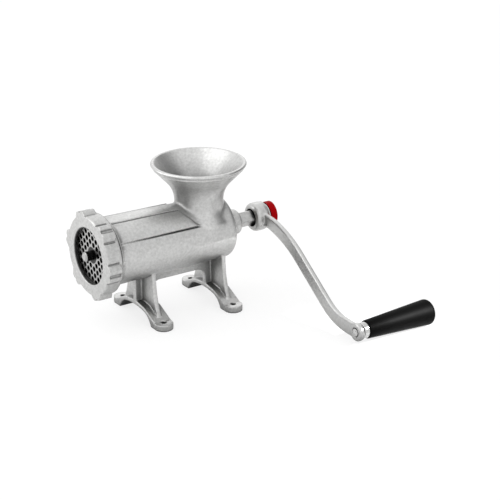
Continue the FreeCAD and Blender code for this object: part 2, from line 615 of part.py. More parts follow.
outline(lobe_sketch, [
    ("-Sizes.lobe_base_half", LOBE_FOOT),
    ("Sizes.lobe_base_half", LOBE_FOOT),
    ("Sizes.lobe_top_half", LOBE_TOP, "left", "Sizes.lobe_radius"),
    ("Sizes.flute_half", FLUTE_TOP),
    ("Sizes.flute_half / 2", "Sizes.lobe_radius - Sizes.flute_depth"),
    ("-Sizes.flute_half / 2", "Sizes.lobe_radius - Sizes.flute_depth"),
    ("-Sizes.flute_half", FLUTE_TOP, "left", "Sizes.lobe_radius"),
    ("-Sizes.lobe_top_half", LOBE_TOP),
])
lobe = pad(nut, "lobe", lobe_sketch, "Sizes.ring_front - Sizes.ring_rear - Sizes.ring_collar")
around(nut, "lobes", lobe, 6)

# Knife: hub with a square hole and four blades, each sharp at the plate
knife = new_body("knife")
hub_sketch = new_sketch(knife, "knife_hub_outline", "YZ_Plane", "-" + KNIFE_FRONT)
ring(hub_sketch, "0", "0", "Sizes.knife_hub")
pad(knife, "knife_hub", hub_sketch, "Sizes.knife_thick")
blade_sketch = new_sketch(knife, "blade_outline", "XY_Plane")
outline(blade_sketch, [
    ("-" + KNIFE_FRONT, "-Sizes.blade_edge_half"),
    ("-" + KNIFE_BACK, "-Sizes.blade_back_half"),
    ("-" + KNIFE_BACK, "Sizes.blade_back_half"),
    ("-" + KNIFE_FRONT, "Sizes.blade_back_half"),
])
blade = pad(knife, "blade", blade_sketch, "Sizes.knife_reach")
around(knife, "blades", blade, 4)
knife_hole = new_sketch(knife, "knife_square_outline", "YZ_Plane", "-" + KNIFE_FRONT)
square(knife_hole, "Sizes.pin_square + 2 * Sizes.slide_gap", "Sizes.slide_gap")
cut(knife, "knife_square", knife_hole, "Sizes.knife_thick")

# Auger pin: shank in the screw, square for the knife, round tip in the plate
auger_pin = new_body("auger_pin")
tip_sketch = new_sketch(auger_pin, "pin_outline", "XZ_Plane")
outline(tip_sketch, [
    ("-Sizes.pin_front", "0"),
    ("-Sizes.pin_front", "Sizes.pin_radius - Sizes.pin_round"),
    ("-Sizes.pin_front + Sizes.pin_round", "Sizes.pin_radius"),
    ("-%s + Sizes.pin_round" % KNIFE_BACK, "Sizes.pin_radius"),
    ("-%s + Sizes.pin_round" % KNIFE_BACK, "Sizes.shank_radius"),
    ("-%s + Sizes.shank_length" % KNIFE_BACK, "Sizes.shank_radius"),
    ("-%s + Sizes.shank_length" % KNIFE_BACK, "0"),
])
revolve(auger_pin, "pin_turned", tip_sketch, "H_Axis")
pin_square_sketch = new_sketch(auger_pin, "pin_square_outline", "YZ_Plane", "-" + KNIFE_FRONT)
square(pin_square_sketch, "Sizes.pin_square", "Sizes.drive_corner")
pad(auger_pin, "pin_square_part", pin_square_sketch, "Sizes.knife_thick")

# Screw: tapered core, collar, journal, flight and square drive
auger = new_body("auger")
core_sketch = new_sketch(auger, "core_outline", "XZ_Plane")
outline(core_sketch, [
    ("-" + KNIFE_BACK, "0"),
    ("-" + KNIFE_BACK, "Sizes.core_front"),
    (COLLAR_REAR + " - Sizes.collar_thick", "Sizes.core_rear"),
    (COLLAR_REAR + " - Sizes.collar_thick", "Sizes.collar_radius"),
    (COLLAR_REAR, "Sizes.collar_radius"),
    (COLLAR_REAR, "Sizes.journal_radius"),
    ("Sizes.boss_rear + Sizes.journal_stand", "Sizes.journal_radius"),
    ("Sizes.boss_rear + Sizes.journal_stand", "0"),
])
revolve(auger, "core", core_sketch, "H_Axis")
drive_sketch = new_sketch(auger, "drive_outline", "YZ_Plane", "Sizes.boss_rear")
drive_sketch.setExpression("AttachmentOffset.Rotation.Angle", "Sizes.drive_turn")
square(drive_sketch, "Sizes.drive_square", "Sizes.drive_corner")
pad(auger, "drive", drive_sketch, "Sizes.drive_rear - Sizes.boss_rear")
flight_sketch = new_sketch(auger, "flight_outline", "XZ_Plane")
FLIGHT_FRONT = "(-%s + Sizes.flight_root / 2)" % KNIFE_BACK
outline(flight_sketch, [
    (FLIGHT_FRONT + " - Sizes.flight_root / 2", "Sizes.core_rear / 2"),
    (FLIGHT_FRONT + " + Sizes.flight_root / 2", "Sizes.core_rear / 2"),
    (FLIGHT_FRONT + " + Sizes.flight_tip / 2", FLIGHT_OUT),
    (FLIGHT_FRONT + " - Sizes.flight_tip / 2", FLIGHT_OUT),
])
flight = auger.newObject("PartDesign::AdditiveHelix", "flight")
flight.Profile = flight_sketch
flight.ReferenceAxis = (flight_sketch, ["H_Axis"])
flight.Mode = "pitch-height-angle"
flight.LeftHanded = True
flight.setExpression("Pitch", "Sizes.flight_pitch")
flight.setExpression("Height", "%s + %s - Sizes.collar_thick - Sizes.flight_root" % (KNIFE_BACK, COLLAR_REAR))
doc.recompute()
shank_hole = new_sketch(auger, "shank_hole_outline", "YZ_Plane", "-" + KNIFE_BACK)
ring(shank_hole, "0", "0", "Sizes.shank_radius + Sizes.seat_gap")
cut(auger, "shank_hole", shank_hole, "Sizes.shank_length")
relief = new_sketch(auger, "pin_relief_outline", "YZ_Plane", "-" + KNIFE_BACK)
ring(relief, "0", "0", "Sizes.pin_radius + Sizes.seat_gap")
cut(auger, "pin_relief", relief, "Sizes.pin_round")
tap = new_sketch(auger, "stud_hole_outline", "YZ_Plane", "Sizes.stud_front - Sizes.flat_thick")
ring(tap, "0", "0", "Sizes.stud_radius + Sizes.run_gap")
cut(auger, "stud_hole", tap, "Sizes.drive_rear - Sizes.stud_front + 2 * Sizes.flat_thick")

# Crank: hub, swept arm and eye
crank = new_body("crank_arm")
crank_hub = new_sketch(crank, "hub_outline", "XZ_Plane")
outline(crank_hub, [
    ("Sizes.hub_front", "0"),
    ("Sizes.hub_front", "Sizes.hub_radius - Sizes.hub_round", "right", "Sizes.hub_round"),
    ("Sizes.hub_front + Sizes.hub_round", "Sizes.hub_radius"),
    ("Sizes.hub_rear - Sizes.hub_edge", "Sizes.hub_radius", "right", "Sizes.hub_edge"),
    ("Sizes.hub_rear", "Sizes.hub_radius - Sizes.hub_edge"),
    ("Sizes.hub_rear", "0"),
])
revolve(crank, "hub", crank_hub, "H_Axis")
eye_sketch = new_sketch(crank, "eye_outline", "YZ_Plane", "Sizes.eye_front")
ring(eye_sketch, "-Sizes.grip_out", "-Sizes.grip_drop", "Sizes.eye_radius")
eye = pad(crank, "eye", eye_sketch, "Sizes.eye_rear - Sizes.eye_front")
rims = ["Edge%d" % (i + 1) for i, e in enumerate(eye.Shape.Edges)
        if e.Closed and abs(e.BoundBox.Center.y + number("Sizes.grip_out")) < 1]
fillet(crank, "eye_rounding", eye, rims, "Sizes.eye_edge")

# The arm's path: straight, bend, straight, bend back, straight, all tangent.
# It leans towards the barrel, from the middle of the arm at the hub to the middle of the eye.
ARM_MIDDLE = "(Sizes.arm_front + Sizes.arm_thick / 2)"
LEAN = "(%s - (Sizes.eye_front + Sizes.eye_rear) / 2)" % ARM_MIDDLE
ARM_SPAN = "sqrt(Sizes.grip_out ^ 2 + %s ^ 2)" % LEAN
path = new_sketch(crank, "arm_path", "YZ_Plane")
path.AttachmentOffset = FreeCAD.Placement(V(0, 0, 0), FreeCAD.Rotation(V(0, 1, 0), -1.0))
path.setExpression("AttachmentOffset.Base.z", ARM_MIDDLE)
path.setExpression("AttachmentOffset.Rotation.Angle", "-asin(%s / %s)" % (LEAN, ARM_SPAN))
bend_1 = number("Sizes.arm_hub_curve")
bend_2 = number("Sizes.arm_grip_curve")
start_y = -number("Sizes.arm_start")
drop = number("Sizes.grip_drop")
lean = math.acos(1 - drop / (2 * (bend_1 + bend_2)))
run = (drop - (bend_1 + bend_2) * (1 - math.cos(lean))) / math.sin(lean)
p1 = V(start_y, 0, 0)
p2 = p1 + V(-bend_1 * math.sin(lean), -bend_1 * (1 - math.cos(lean)), 0)
p3 = p2 + V(-run * math.cos(lean), -run * math.sin(lean), 0)
p4 = p3 + V(-bend_2 * math.sin(lean), -bend_2 * (1 - math.cos(lean)), 0)
path.addGeometry(Part.LineSegment(V(0, 0, 0), p1), False)
up = Part.Circle(p1 - V(0, bend_1, 0), V(0, 0, 1), bend_1)
path.addGeometry(Part.ArcOfCircle(up, math.pi / 2, math.pi / 2 + lean), False)
path.addGeometry(Part.LineSegment(p2, p3), False)
down = Part.Circle(p4 + V(0, bend_2, 0), V(0, 0, 1), bend_2)
path.addGeometry(Part.ArcOfCircle(down, 1.5 * math.pi, 1.5 * math.pi + lean), False)
path.addGeometry(Part.LineSegment(p4, V(-number(ARM_SPAN), -drop, 0)), False)
path.addConstraint(Sketcher.Constraint("Coincident", 0, 1, -1, 1))
path.addConstraint(Sketcher.Constraint("Tangent", 0, 2, 1, 1))
path.addConstraint(Sketcher.Constraint("Tangent", 1, 2, 2, 1))
path.addConstraint(Sketcher.Constraint("Tangent", 2, 2, 3, 2))
path.addConstraint(Sketcher.Constraint("Tangent", 3, 1, 4, 1))
path.addConstraint(Sketcher.Constraint("Horizontal", 4))
pin(path, 0, 2, "-Sizes.arm_start", "0")
pin(path, 4, 2, "-" + ARM_SPAN, "-Sizes.grip_drop")
set_radius(path, 1, "Sizes.arm_hub_curve")
set_radius(path, 3, "Sizes.arm_grip_curve")
section = new_sketch(crank, "arm_section", "XZ_Plane")
ARM_BACK = "(Sizes.arm_front + Sizes.arm_thick)"
HALF = "Sizes.arm_width / 2"
outline(section, [
    ("Sizes.arm_front + Sizes.arm_edge", "-" + HALF),
    (ARM_BACK + " - Sizes.arm_edge", "-" + HALF, "left", "Sizes.arm_edge"),
    (ARM_BACK, "-%s + Sizes.arm_edge" % HALF),
    (ARM_BACK, HALF + " - Sizes.arm_edge", "left", "Sizes.arm_edge"),
    (ARM_BACK + " - Sizes.arm_edge", HALF),
    ("Sizes.arm_front + Sizes.arm_edge", HALF, "left", "Sizes.arm_edge"),
    ("Sizes.arm_front", HALF + " - Sizes.arm_edge"),
    ("Sizes.arm_front", "-%s + Sizes.arm_edge" % HALF, "left", "Sizes.arm_edge"),
])
arm = crank.newObject("PartDesign::AdditivePipe", "arm")
arm.Profile = section
arm.Spine = path
arm.Mode = "Standard"
doc.recompute()
recess_sketch = new_sketch(crank, "hub_recess_outline", "YZ_Plane", "Sizes.hub_front")
ring(recess_sketch, "0", "0", "Sizes.hub_recess")
cut(crank, "hub_recess_cut", recess_sketch, "Sizes.recess_depth")
socket_sketch = new_sketch(crank, "hub_square_outline", "YZ_Plane", "Sizes.hub_front")
socket_sketch.setExpression("AttachmentOffset.Rotation.Angle", "Sizes.drive_turn")
square(socket_sketch, "Sizes.drive_square + 2 * Sizes.slide_gap", "Sizes.drive_corner")
cut(crank, "hub_square", socket_sketch, "Sizes.hub_rear - Sizes.hub_front")
eye_hole = new_sketch(crank, "eye_hole_outline", "YZ_Plane", "Sizes.eye_front - Sizes.arm_thick")
ring(eye_hole, "-Sizes.grip_out", "-Sizes.grip_drop", "Sizes.spindle_radius + Sizes.seat_gap")
cut(crank, "eye_hole", eye_hole, "Sizes.eye_rear - Sizes.eye_front + 2 * Sizes.arm_thick")

# Clamping knob, its stud and washer
flat = new_body("crank_washer")
flat_sketch = new_sketch(flat, "flat_outline", "YZ_Plane", "Sizes.hub_rear")
ring(flat_sketch, "0", "0", "Sizes.flat_radius")
ring(flat_sketch, "0", "0", "Sizes.stud_radius + Sizes.run_gap")
pad(flat, "flat", flat_sketch, "Sizes.flat_thick")

knob = new_body("knob")
knob_sketch = new_sketch(knob, "knob_outline", "XZ_Plane")
KNOB_REAR = "(%s + Sizes.knob_thick)" % KNOB_FRONT
outline(knob_sketch, [
    (KNOB_FRONT, "Sizes.stud_radius + Sizes.seat_gap"),
    (KNOB_FRONT + " + Sizes.stud_hold", "Sizes.stud_radius + Sizes.seat_gap"),
    (KNOB_FRONT + " + Sizes.stud_hold", "0"),
    (KNOB_REAR, "0"),
    (KNOB_REAR, "Sizes.knob_radius - Sizes.knob_edge", "left", "Sizes.knob_edge"),
    (KNOB_REAR + " - Sizes.knob_edge", "Sizes.knob_radius"),
    (KNOB_FRONT, "Sizes.knob_radius"),
])
revolve(knob, "knob_turned", knob_sketch, "H_Axis")

stud = new_body("knob_stud")
stud_sketch = new_sketch(stud, "stud_outline", "YZ_Plane", "Sizes.stud_front")
ring(stud_sketch, "0", "0", "Sizes.stud_radius")
pad(stud, "stud", stud_sketch, "%s + Sizes.stud_hold - Sizes.stud_front" % KNOB_FRONT)


# Grip pieces lie on their own axis
def grip_body(name):
    body = new_body(name)
    body.setExpression("Placement.Base.y", "-Sizes.grip_out")
    body.setExpression("Placement.Base.z", "Sizes.axis_height - Sizes.grip_drop")
    return body


HEAD_FRONT = "(%s - Sizes.head_thick - Sizes.grip_round / 2)" % GRIP_REAR
spindle = grip_body("grip_spindle")
spindle_sketch = new_sketch(spindle, "spindle_outline", "XZ_Plane")
outline(spindle_sketch, [
    ("Sizes.eye_front + Sizes.spindle_dimple", "0"),
    ("Sizes.eye_front", "Sizes.spindle_dimple"),
    ("Sizes.eye_front", "Sizes.spindle_radius"),
    (HEAD_FRONT, "Sizes.spindle_radius"),
    (HEAD_FRONT, "Sizes.spindle_head"),
    (HEAD_FRONT + " + Sizes.head_thick", "Sizes.spindle_head"),
    (HEAD_FRONT + " + Sizes.head_thick", "0"),
])
revolve(spindle, "spindle", spindle_sketch, "H_Axis")

ferrule = grip_body("ferrule")
ferrule_sketch = new_sketch(ferrule, "ferrule_outline", "XZ_Plane")
outline(ferrule_sketch, [
    (FERRULE_FRONT, "Sizes.spindle_radius + Sizes.run_gap"),
    (FERRULE_FRONT, "Sizes.ferrule_radius - Sizes.ferrule_edge", "right", "Sizes.ferrule_edge"),
    (FERRULE_FRONT + " + Sizes.ferrule_edge", "Sizes.ferrule_radius"),
    (GRIP_FRONT, "Sizes.ferrule_radius"),
    (GRIP_FRONT, "Sizes.spindle_radius + Sizes.run_gap"),
])
revolve(ferrule, "ferrule_turned", ferrule_sketch, "H_Axis")

grip = grip_body("grip")
grip_sketch = new_sketch(grip, "grip_outline", "XZ_Plane")
outline(grip_sketch, [
    (GRIP_FRONT, "Sizes.spindle_radius + Sizes.run_gap"),
    (GRIP_FRONT, "Sizes.grip_small - Sizes.grip_lip", "right", "Sizes.grip_lip"),
    (GRIP_FRONT + " + Sizes.grip_lip", "Sizes.grip_small"),
    (GRIP_REAR + " - Sizes.grip_round", "Sizes.grip_large", "right", "Sizes.grip_round"),
    (GRIP_REAR, "Sizes.grip_large - Sizes.grip_round"),
    (GRIP_REAR, "Sizes.spindle_head + Sizes.free_gap"),
    (HEAD_FRONT + " - Sizes.free_gap", "Sizes.spindle_head + Sizes.free_gap"),
    (HEAD_FRONT + " - Sizes.free_gap", "Sizes.spindle_radius + Sizes.run_gap"),
])
revolve(grip, "grip_turned", grip_sketch, "H_Axis")

# Every object and every solid is tested before anything is written
doc.recompute()
faults = ["%s %s" % (o.Name, o.State) for o in doc.Objects if "Invalid" in o.State or "Error" in o.State]
if faults:
    raise SystemExit("faults: " + ", ".join(faults))
bodies = [o for o in doc.Objects if o.isDerivedFrom("PartDesign::Body")]
for item in doc.Objects:
    if item.isDerivedFrom("PartDesign::Pocket") or item.isDerivedFrom("PartDesign::Groove"):
        if item.Shape.Volume > item.BaseFeature.Shape.Volume - 0.01:
            faults.append(item.Name + " cuts nothing")
for body in bodies:
    if body.Shape.isNull() or not body.Shape.isValid() or len(body.Shape.Solids) != 1:
        faults.append(body.Name + " is not one sound solid")
if faults:
    raise SystemExit("faults: " + ", ".join(faults))

os.makedirs("parts", exist_ok=True)
for body in bodies:
    body.Shape.exportStep(os.path.join("parts", body.Label + ".step"))
    print(body.Label, round(body.Shape.Volume / 1000, 2), "cm3")
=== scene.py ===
import math

import bpy
from mathutils import Matrix, Vector


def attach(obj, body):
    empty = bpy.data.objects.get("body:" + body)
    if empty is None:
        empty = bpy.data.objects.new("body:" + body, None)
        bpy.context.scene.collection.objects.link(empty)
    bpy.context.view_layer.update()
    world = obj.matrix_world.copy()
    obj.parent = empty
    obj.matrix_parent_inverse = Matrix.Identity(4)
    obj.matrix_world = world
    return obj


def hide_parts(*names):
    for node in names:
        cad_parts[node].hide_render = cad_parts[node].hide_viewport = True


# Hand crank meat grinder on a pale floor. Sizes are in millimetres and turned to metres by MM.
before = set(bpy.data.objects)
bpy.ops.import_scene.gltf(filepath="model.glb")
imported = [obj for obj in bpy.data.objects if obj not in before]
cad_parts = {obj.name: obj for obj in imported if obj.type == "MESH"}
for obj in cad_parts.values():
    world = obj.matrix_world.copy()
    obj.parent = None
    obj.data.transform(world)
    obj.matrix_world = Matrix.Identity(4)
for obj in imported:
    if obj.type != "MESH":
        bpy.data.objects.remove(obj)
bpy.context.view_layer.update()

MM = 0.001
WELD = 0.01 * MM  # points nearer than this are one point
SMOOTH_ANGLE = math.radians(30)  # flatter edges are shaded round

# Axes of the parts: height of the screw axis, hopper axis, grip axis
AXIS_Z = 100.5
HOPPER_X = 35.0
GRIP_Y = -231.0
GRIP_Z = 17.5

# Places and reaches of the casting's painted shade
BORE_FROM, BORE_TO = 37.4, 38.2  # bore with painted shade, by distance from the screw axis
BORE_REAR_FROM, BORE_REAR_TO = 60, 64  # rear end of the painted shade in the bore
HOPPER_FOOT_FROM, HOPPER_FOOT_TO = 146, 148  # height above which the hopper's inside starts
SHADE_DEEP, SHADE_HIGH = 158, 188  # heights of the darkest painted shade and of the unshaded hopper wall
HOLLOW_SHADE_REACH = 45  # hollows of this width get painted shade
CREASE_SHADE_REACH = 2.5  # creases of this width get dark painted shade

# Pattern sizes of the steel and the plastic, and where the plate's painted shade lies
STAIN_SIZE = 9
RING_DEPTH = 0.01
CENTRE_SHADE_FROM, CENTRE_SHADE_TO = 10.5, 11.5  # painted shade round the pin in the middle of the plate, by distance from its axis
POLISH_SIZE = 16


def linear(code):
    """An sRGB hex colour as linear red, green, blue and full alpha."""
    parts = [int(code[i:i + 2], 16) / 255 for i in (1, 3, 5)]
    return [c / 12.92 if c <= 0.04045 else ((c + 0.055) / 1.055) ** 2.4 for c in parts] + [1.0]


def add(tree, kind, feeds=None, **settings):
    """Adds one node; feeds are values or sockets of other nodes, by input name or number."""
    item = tree.nodes.new("ShaderNode" + kind)
    for key, value in settings.items():
        setattr(item, key, value)
    for key, value in (feeds or {}).items():
        if isinstance(value, bpy.types.NodeSocket):
            tree.links.new(value, item.inputs[key])
        else:
            item.inputs[key].default_value = value
    return item


def per_mm(size):
    """The scale of a pattern whose features are this many millimetres wide."""
    return 1 / (size * MM)


def new_finish(name):
    """A new material with an empty node tree, and that tree."""
    finish = bpy.data.materials.new(name)
    finish.use_nodes = True
    finish.node_tree.nodes.clear()
    return finish, finish.node_tree


def from_axis(tree, place, y, z):
    """The distance from an axis along X, in metres, as a socket."""
    flat = add(tree, "VectorMath", {0: place, 1: (0, 1, 1)}, operation="MULTIPLY")
    gap = add(tree, "VectorMath", {0: flat.outputs[0], 1: (0, y * MM, z * MM)}, operation="DISTANCE")
    return gap.outputs["Value"]


def bore_shade(tree, place):
    """Painted shade darkening the bore, and 1 elsewhere."""
    near = add(tree, "MapRange", {"Value": from_axis(tree, place, 0, AXIS_Z), "From Min": BORE_FROM * MM,
                                  "From Max": BORE_TO * MM, "To Min": 1.0, "To Max": 0.0})
    along = add(tree, "SeparateXYZ", {0: place}).outputs["X"]
    ahead = add(tree, "MapRange", {"Value": along, "From Min": BORE_REAR_FROM * MM,
                                   "From Max": BORE_REAR_TO * MM, "To Min": 1.0, "To Max": 0.0})
    inside = add(tree, "Math", {0: near.outputs["Result"], 1: ahead.outputs["Result"]},
                 operation="MULTIPLY")
    # Painted shade: the bore's colour falls to a quarter
    shaded = add(tree, "MapRange", {"Value": inside.outputs[0], "To Min": 1.0, "To Max": 0.25})
    return shaded.outputs["Result"]


def hopper_shade(tree, place):
    """Painted shade on the hopper's inside, darker with depth, and 1 elsewhere."""
    arm = add(tree, "VectorMath", {0: place, 1: (HOPPER_X * MM, 0, 0)}, operation="SUBTRACT")
    flat = add(tree, "VectorMath", {0: arm.outputs[0], 1: (1, 1, 0)}, operation="MULTIPLY")
    out = add(tree, "VectorMath", {0: flat.outputs[0]}, operation="NORMALIZE")
    normal = add(tree, "TexCoord").outputs["Normal"]
    facing = add(tree, "VectorMath", {0: out.outputs[0], 1: normal}, operation="DOT_PRODUCT")
    inward = add(tree, "MapRange", {"Value": facing.outputs["Value"], "From Min": -0.25,
                                    "From Max": -0.1, "To Min": 1.0, "To Max": 0.0})
    height = add(tree, "SeparateXYZ", {0: place}).outputs["Z"]
    above = add(tree, "MapRange", {"Value": height, "From Min": HOPPER_FOOT_FROM * MM,
                                   "From Max": HOPPER_FOOT_TO * MM})
    depth = add(tree, "MapRange", {"Value": height, "From Min": SHADE_DEEP * MM,
                                   "From Max": SHADE_HIGH * MM, "To Min": 0.5, "To Max": 1.0})
    inside = add(tree, "Math", {0: inward.outputs["Result"], 1: above.outputs["Result"]},
                 operation="MULTIPLY")
    # Painted shade: the hopper's inside darkens towards its throat
    inner_shade = add(tree, "MapRange", {"Value": inside.outputs[0], "To Min": 1.0,
                                  "To Max": depth.outputs["Result"]})
    return inner_shade.outputs["Result"]


# Hot-tinned grey iron, tumbled after casting: a satin pale grey, clouded where the tin ran thick
# or thin, with painted shade in hollows, corners, the bore and deep in the hopper, with the grain of the
# sand mould
def tinned_casting(name, light, dark, gloss, cloud_mm, grain_mm, grain_depth_mm, crease_shade_tone):
    finish, tree = new_finish(name)
    place = add(tree, "TexCoord").outputs["Object"]
    clouds = add(tree, "TexNoise", {"Vector": place, "Scale": per_mm(cloud_mm), "Detail": 6.0,
                                    "Roughness": 0.65})
    grain = add(tree, "TexNoise", {"Vector": place, "Scale": per_mm(grain_mm), "Detail": 3.0,
                                   "Roughness": 0.6})
    tone = add(tree, "ValToRGB", {"Fac": clouds.outputs["Fac"]})
    tone.color_ramp.elements[0].position = 0.3
    tone.color_ramp.elements[0].color = linear(dark)
    tone.color_ramp.elements[1].position = 0.68
    tone.color_ramp.elements[1].color = linear(light)
    # Painted shade: ambient occlusion darkens the base colour in hollows and in creases
    hollow = add(tree, "AmbientOcclusion", {"Distance": HOLLOW_SHADE_REACH * MM}, samples=8)
    hollow_shade = add(tree, "MapRange", {"Value": hollow.outputs["AO"], "From Min": 0.2, "From Max": 0.97,
                                       "To Min": 0.22, "To Max": 1.0})
    crease = add(tree, "AmbientOcclusion", {"Distance": CREASE_SHADE_REACH * MM}, samples=8)
    crease_shade = add(tree, "MapRange", {"Value": crease.outputs["AO"], "From Min": 0.5, "From Max": 0.95,
                                       "To Min": crease_shade_tone, "To Max": 1.0})
    corner_shade = add(tree, "Math", {0: hollow_shade.outputs["Result"], 1: crease_shade.outputs["Result"]},
                   operation="MULTIPLY")
    # Painted shade in the bore and deep in the hopper
    bore_and_hopper_shade = add(tree, "Math", {0: bore_shade(tree, place), 1: hopper_shade(tree, place)},
               operation="MULTIPLY")
    painted_shade = add(tree, "Math", {0: corner_shade.outputs[0], 1: bore_and_hopper_shade.outputs[0]}, operation="MULTIPLY")
    shade = add(tree, "Mix", {"Factor": 1.0, 6: tone.outputs["Color"], 7: painted_shade.outputs[0]},
                data_type="RGBA", blend_type="MULTIPLY")
    rough = add(tree, "MapRange", {"Value": clouds.outputs["Fac"], "From Min": 0.3, "From Max": 0.7,
                                   "To Min": gloss + 0.06, "To Max": gloss - 0.05})
    bump = add(tree, "Bump", {"Height": grain.outputs["Fac"], "Strength": 1.0,
                              "Distance": grain_depth_mm * MM})
    skin = add(tree, "BsdfPrincipled", {"Base Color": shade.outputs[2], "Metallic": 1.0,
                                        "Roughness": rough.outputs["Result"],
                                        "Normal": bump.outputs["Normal"]})
    add(tree, "OutputMaterial", {"Surface": skin.outputs["BSDF"]})
    return finish


# Ground and turned tool steel: a bright cold grey with fine rings about its axis,
# with painted shade that darkens its walls and the middle of the plate round the pin
def turned_steel(name, light, dark, gloss, ring_mm, axis, wall_shade_tone=1.0, centre_shade_tone=1.0):
    finish, tree = new_finish(name)
    place = add(tree, "TexCoord").outputs["Object"]
    radius = from_axis(tree, place, *axis)
    turns = add(tree, "Math", {0: radius, 1: 2 * math.pi / (ring_mm * MM)}, operation="MULTIPLY")
    rings = add(tree, "Math", {0: turns.outputs[0]}, operation="SINE")
    stain = add(tree, "TexNoise", {"Vector": place, "Scale": per_mm(STAIN_SIZE), "Detail": 4.0})
    tone = add(tree, "Mix", {"Factor": stain.outputs["Fac"], 6: linear(dark), 7: linear(light)},
               data_type="RGBA")
    facing = add(tree, "SeparateXYZ", {0: add(tree, "TexCoord").outputs["Normal"]})
    ahead = add(tree, "Math", {0: facing.outputs["X"]}, operation="ABSOLUTE")
    # Painted shade: walls that face across the axis, in holes and on the pin, are darkened
    wall_shade = add(tree, "MapRange", {"Value": ahead.outputs[0], "From Min": 0.3, "From Max": 0.8,
                                  "To Min": wall_shade_tone, "To Max": 1.0})
    # Painted shade round the pin in the middle of the plate
    inner_shade = add(tree, "MapRange", {"Value": radius, "From Min": CENTRE_SHADE_FROM * MM,
                                  "From Max": CENTRE_SHADE_TO * MM, "To Min": centre_shade_tone, "To Max": 1.0})
    both = add(tree, "Math", {0: wall_shade.outputs["Result"], 1: inner_shade.outputs["Result"]},
               operation="MULTIPLY")
    shade = add(tree, "Mix", {"Factor": 1.0, 6: tone.outputs[2], 7: both.outputs[0]},
                data_type="RGBA", blend_type="MULTIPLY")
    rough = add(tree, "MapRange", {"Value": stain.outputs["Fac"], "To Min": gloss - 0.05,
                                   "To Max": gloss + 0.06})
    bump = add(tree, "Bump", {"Height": rings.outputs[0], "Strength": 0.3, "Distance": RING_DEPTH * MM})
    skin = add(tree, "BsdfPrincipled", {"Base Color": shade.outputs[2], "Metallic": 1.0,
                                        "Roughness": rough.outputs["Result"],
                                        "Normal": bump.outputs["Normal"]})
    add(tree, "OutputMaterial", {"Surface": skin.outputs["BSDF"]})
    return finish


# Injection-moulded plastic: an even colour with a satin skin,
# faintly uneven where the mould was polished by hand
def moulded_plastic(name, light, dark, gloss, specular, grain_mm, grain_depth_mm):
    finish, tree = new_finish(name)
    place = add(tree, "TexCoord").outputs["Object"]
    clouds = add(tree, "TexNoise", {"Vector": place, "Scale": per_mm(POLISH_SIZE), "Detail": 3.0})
    grain = add(tree, "TexNoise", {"Vector": place, "Scale": per_mm(grain_mm), "Detail": 2.0})
    tone = add(tree, "Mix", {"Factor": clouds.outputs["Fac"], 6: linear(dark), 7: linear(light)},
               data_type="RGBA")
    rough = add(tree, "MapRange", {"Value": clouds.outputs["Fac"], "To Min": gloss - 0.05,
                                   "To Max": gloss + 0.05})
    bump = add(tree, "Bump", {"Height": grain.outputs["Fac"], "Strength": 0.5,
                              "Distance": grain_depth_mm * MM})
    skin = add(tree, "BsdfPrincipled", {"Base Color": tone.outputs[2], "Roughness": rough.outputs["Result"],
                                        "Specular IOR Level": specular, "Normal": bump.outputs["Normal"]})
    add(tree, "OutputMaterial", {"Surface": skin.outputs["BSDF"]})
    return finish


SCREW_AXIS = (0, AXIS_Z)
GRIP_AXIS = (GRIP_Y, GRIP_Z)
TURNING = 0.5  # spacing of the turned rings

# The last number of each casting finish is the darkest painted shade in its creases
cast_tin = tinned_casting("tinned_cast_iron", "#dadad9", "#c1c1c0", gloss=0.37, cloud_mm=3.5,
                          grain_mm=0.9, grain_depth_mm=0.07, crease_shade_tone=0.08)
ring_tin = tinned_casting("tinned_ring_iron", "#cfcfce", "#b6b6b5", gloss=0.38, cloud_mm=3.5,
                          grain_mm=0.9, grain_depth_mm=0.07, crease_shade_tone=0.08)
forged_tin = tinned_casting("tinned_forged_iron", "#d2d2d1", "#c0c0bf", gloss=0.34, cloud_mm=3.5,
                            grain_mm=0.8, grain_depth_mm=0.04, crease_shade_tone=0.12)
# wall_shade_tone and centre_shade_tone set the painted shade of the walls and of the plate's middle
pin_steel = turned_steel("ground_pin_steel", "#c4c4c3", "#b0b0af", 0.3, TURNING, SCREW_AXIS,
                         wall_shade_tone=0.04)
plate_steel = turned_steel("ground_plate_steel", "#bcbcbb", "#a6a6a5", 0.3, TURNING, SCREW_AXIS,
                           wall_shade_tone=0.04, centre_shade_tone=0.05)
bright_steel = turned_steel("turned_washer_steel", "#d6d6d5", "#c6c6c5", 0.3, TURNING, SCREW_AXIS)
dark_steel = turned_steel("oiled_tool_steel", "#4a4a4a", "#383838", 0.35, TURNING, SCREW_AXIS)
grip_steel = turned_steel("turned_bright_steel", "#d2d2d1", "#bcbcbb", 0.25, TURNING, GRIP_AXIS)
bush_bronze = turned_steel("turned_bearing_bronze", "#b98d52", "#9c7440", 0.3, TURNING, SCREW_AXIS)
red_cap = moulded_plastic("moulded_red_plastic", "#a60006", "#920005", gloss=0.34, specular=0.03,
                          grain_mm=0.7, grain_depth_mm=0.02)
black_grip = moulded_plastic("moulded_black_plastic", "#030303", "#020202", gloss=0.52, specular=0.05,
                             grain_mm=0.6, grain_depth_mm=0.02)

finish_of = {
    "housing": cast_tin, "ring_nut": ring_tin, "auger": cast_tin, "crank_arm": forged_tin,
    "cutting_plate": plate_steel, "knife": dark_steel, "auger_pin": pin_steel,
    "plate_key_pin": plate_steel, "thrust_washer": bright_steel, "crank_washer": bright_steel,
    "knob_stud": bright_steel, "grip_spindle": grip_steel, "ferrule": grip_steel,
    "rear_bush": bush_bronze, "knob": red_cap, "grip": black_grip,
}
for node, finish in finish_of.items():
    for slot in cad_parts[node].material_slots:
        slot.material = finish


def only(item):
    """Makes one object the only selected and the active one."""
    bpy.ops.object.select_all(action="DESELECT")
    item.select_set(True)
    bpy.context.view_layer.objects.active = item


